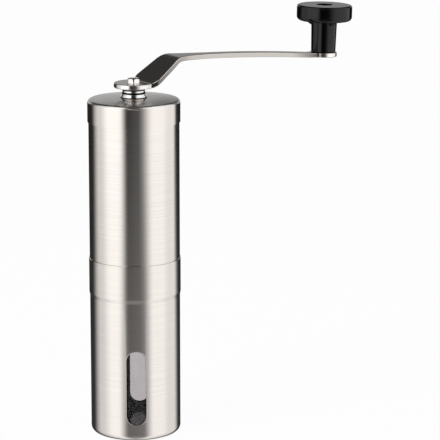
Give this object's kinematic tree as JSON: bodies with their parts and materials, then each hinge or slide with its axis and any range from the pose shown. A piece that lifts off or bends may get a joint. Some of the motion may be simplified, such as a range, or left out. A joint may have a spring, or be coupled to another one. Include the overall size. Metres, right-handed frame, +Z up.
{
  "type": "manual coffee grinder",
  "caption": "Slim hand-cranked coffee grinder: steel hopper tube on a steel catch cup with a sight window, conical ceramic burrs, lid, and a bowed crank with a round black knob.",
  "frame": {"origin": "centre of the cup's foot, on the surface that it stands on", "axes": "+Z up along the shaft, the front sight window faces -Y, the crank points to +X and 30 degrees towards +Y"},
  "size_m": [0.1391, 0.0964, 0.2126],
  "materials": {
    "shell_steel": "satin, brushed round the tube",
    "clear_plastic": "clear, faintly smoked",
    "black_plastic": "moulded, matt",
    "burr_ceramic": "fired, unglazed",
    "small_steel": "plain",
    "bush_brass": "turned",
    "shaft_steel": "turned and ground",
    "dial_plastic": "moulded, matt",
    "bush_chrome": "polished",
    "seal_rubber": "soft, translucent",
    "crank_steel": "polished flat bar",
    "knob_black": "glossy"
  },
  "bodies": {
    "cup": {"cup_shell": "shell_steel", "cup_liner": "clear_plastic"},
    "hopper": {"hopper_tube": "shell_steel", "burr_carrier": "black_plastic", "outer_burr": "burr_ceramic", "burr_lock_ring": "black_plastic", "lock_ring_screws": "small_steel", "upper_shaft_bush": "bush_brass", "lower_shaft_bush": "bush_brass"},
    "shaft": {"drive_shaft": "shaft_steel", "thrust_washer": "small_steel", "retaining_clip": "small_steel", "spring_washer": "small_steel", "burr_spring": "small_steel"},
    "burr": {"inner_burr": "burr_ceramic", "burr_hub": "black_plastic"},
    "adjuster": {"adjuster_dial": "dial_plastic", "adjuster_nut": "bush_brass"},
    "lid": {"lid_shell": "shell_steel", "lid_bush": "bush_chrome", "lid_bush_nut": "small_steel", "lid_gasket": "seal_rubber"},
    "crank": {"crank_arm": "crank_steel", "knob_pin": "small_steel"},
    "knob": {"knob": "knob_black", "knob_cap": "knob_black"}
  },
  "joints": [
    {"name": "hopper_lift", "type": "slide", "parent": "cup", "child": "hopper", "axis": [0, 0, 1], "range_m": [0, 0.045]},
    {"name": "shaft_turn", "type": "hinge", "parent": "hopper", "child": "shaft", "pos_m": [0, 0, 0.0905], "axis": [0, 0, 1], "continuous": true},
    {"name": "crank_lift", "type": "slide", "parent": "shaft", "child": "crank", "axis": [0, 0, 1], "range_m": [0, 0.06]},
    {"name": "knob_spin", "type": "hinge", "parent": "crank", "child": "knob", "pos_m": [0.10055, 0.05805, 0.18745], "axis": [0.0242, 0.014, 0.9996], "continuous": true},
    {"name": "lid_lift", "type": "slide", "parent": "hopper", "child": "lid", "axis": [0, 0, 1], "range_m": [0, 0.03]},
    {"name": "burr_travel", "type": "slide", "parent": "shaft", "child": "burr", "axis": [0, 0, -1], "range_m": [0, 0.0012], "deforming": ["burr_spring"]},
    {"name": "adjuster_turn", "type": "hinge", "parent": "burr", "child": "adjuster", "pos_m": [0, 0, 0.0566], "axis": [0, 0, -1], "range_deg": [0, 540]}
  ],
  "couplings": [
    {"joint": "lid_lift", "follows": "crank_lift", "ratio": 0.5},
    {"joint": "burr_travel", "follows": "adjuster_turn", "m_per_rad": 0.00012732}
  ]
}
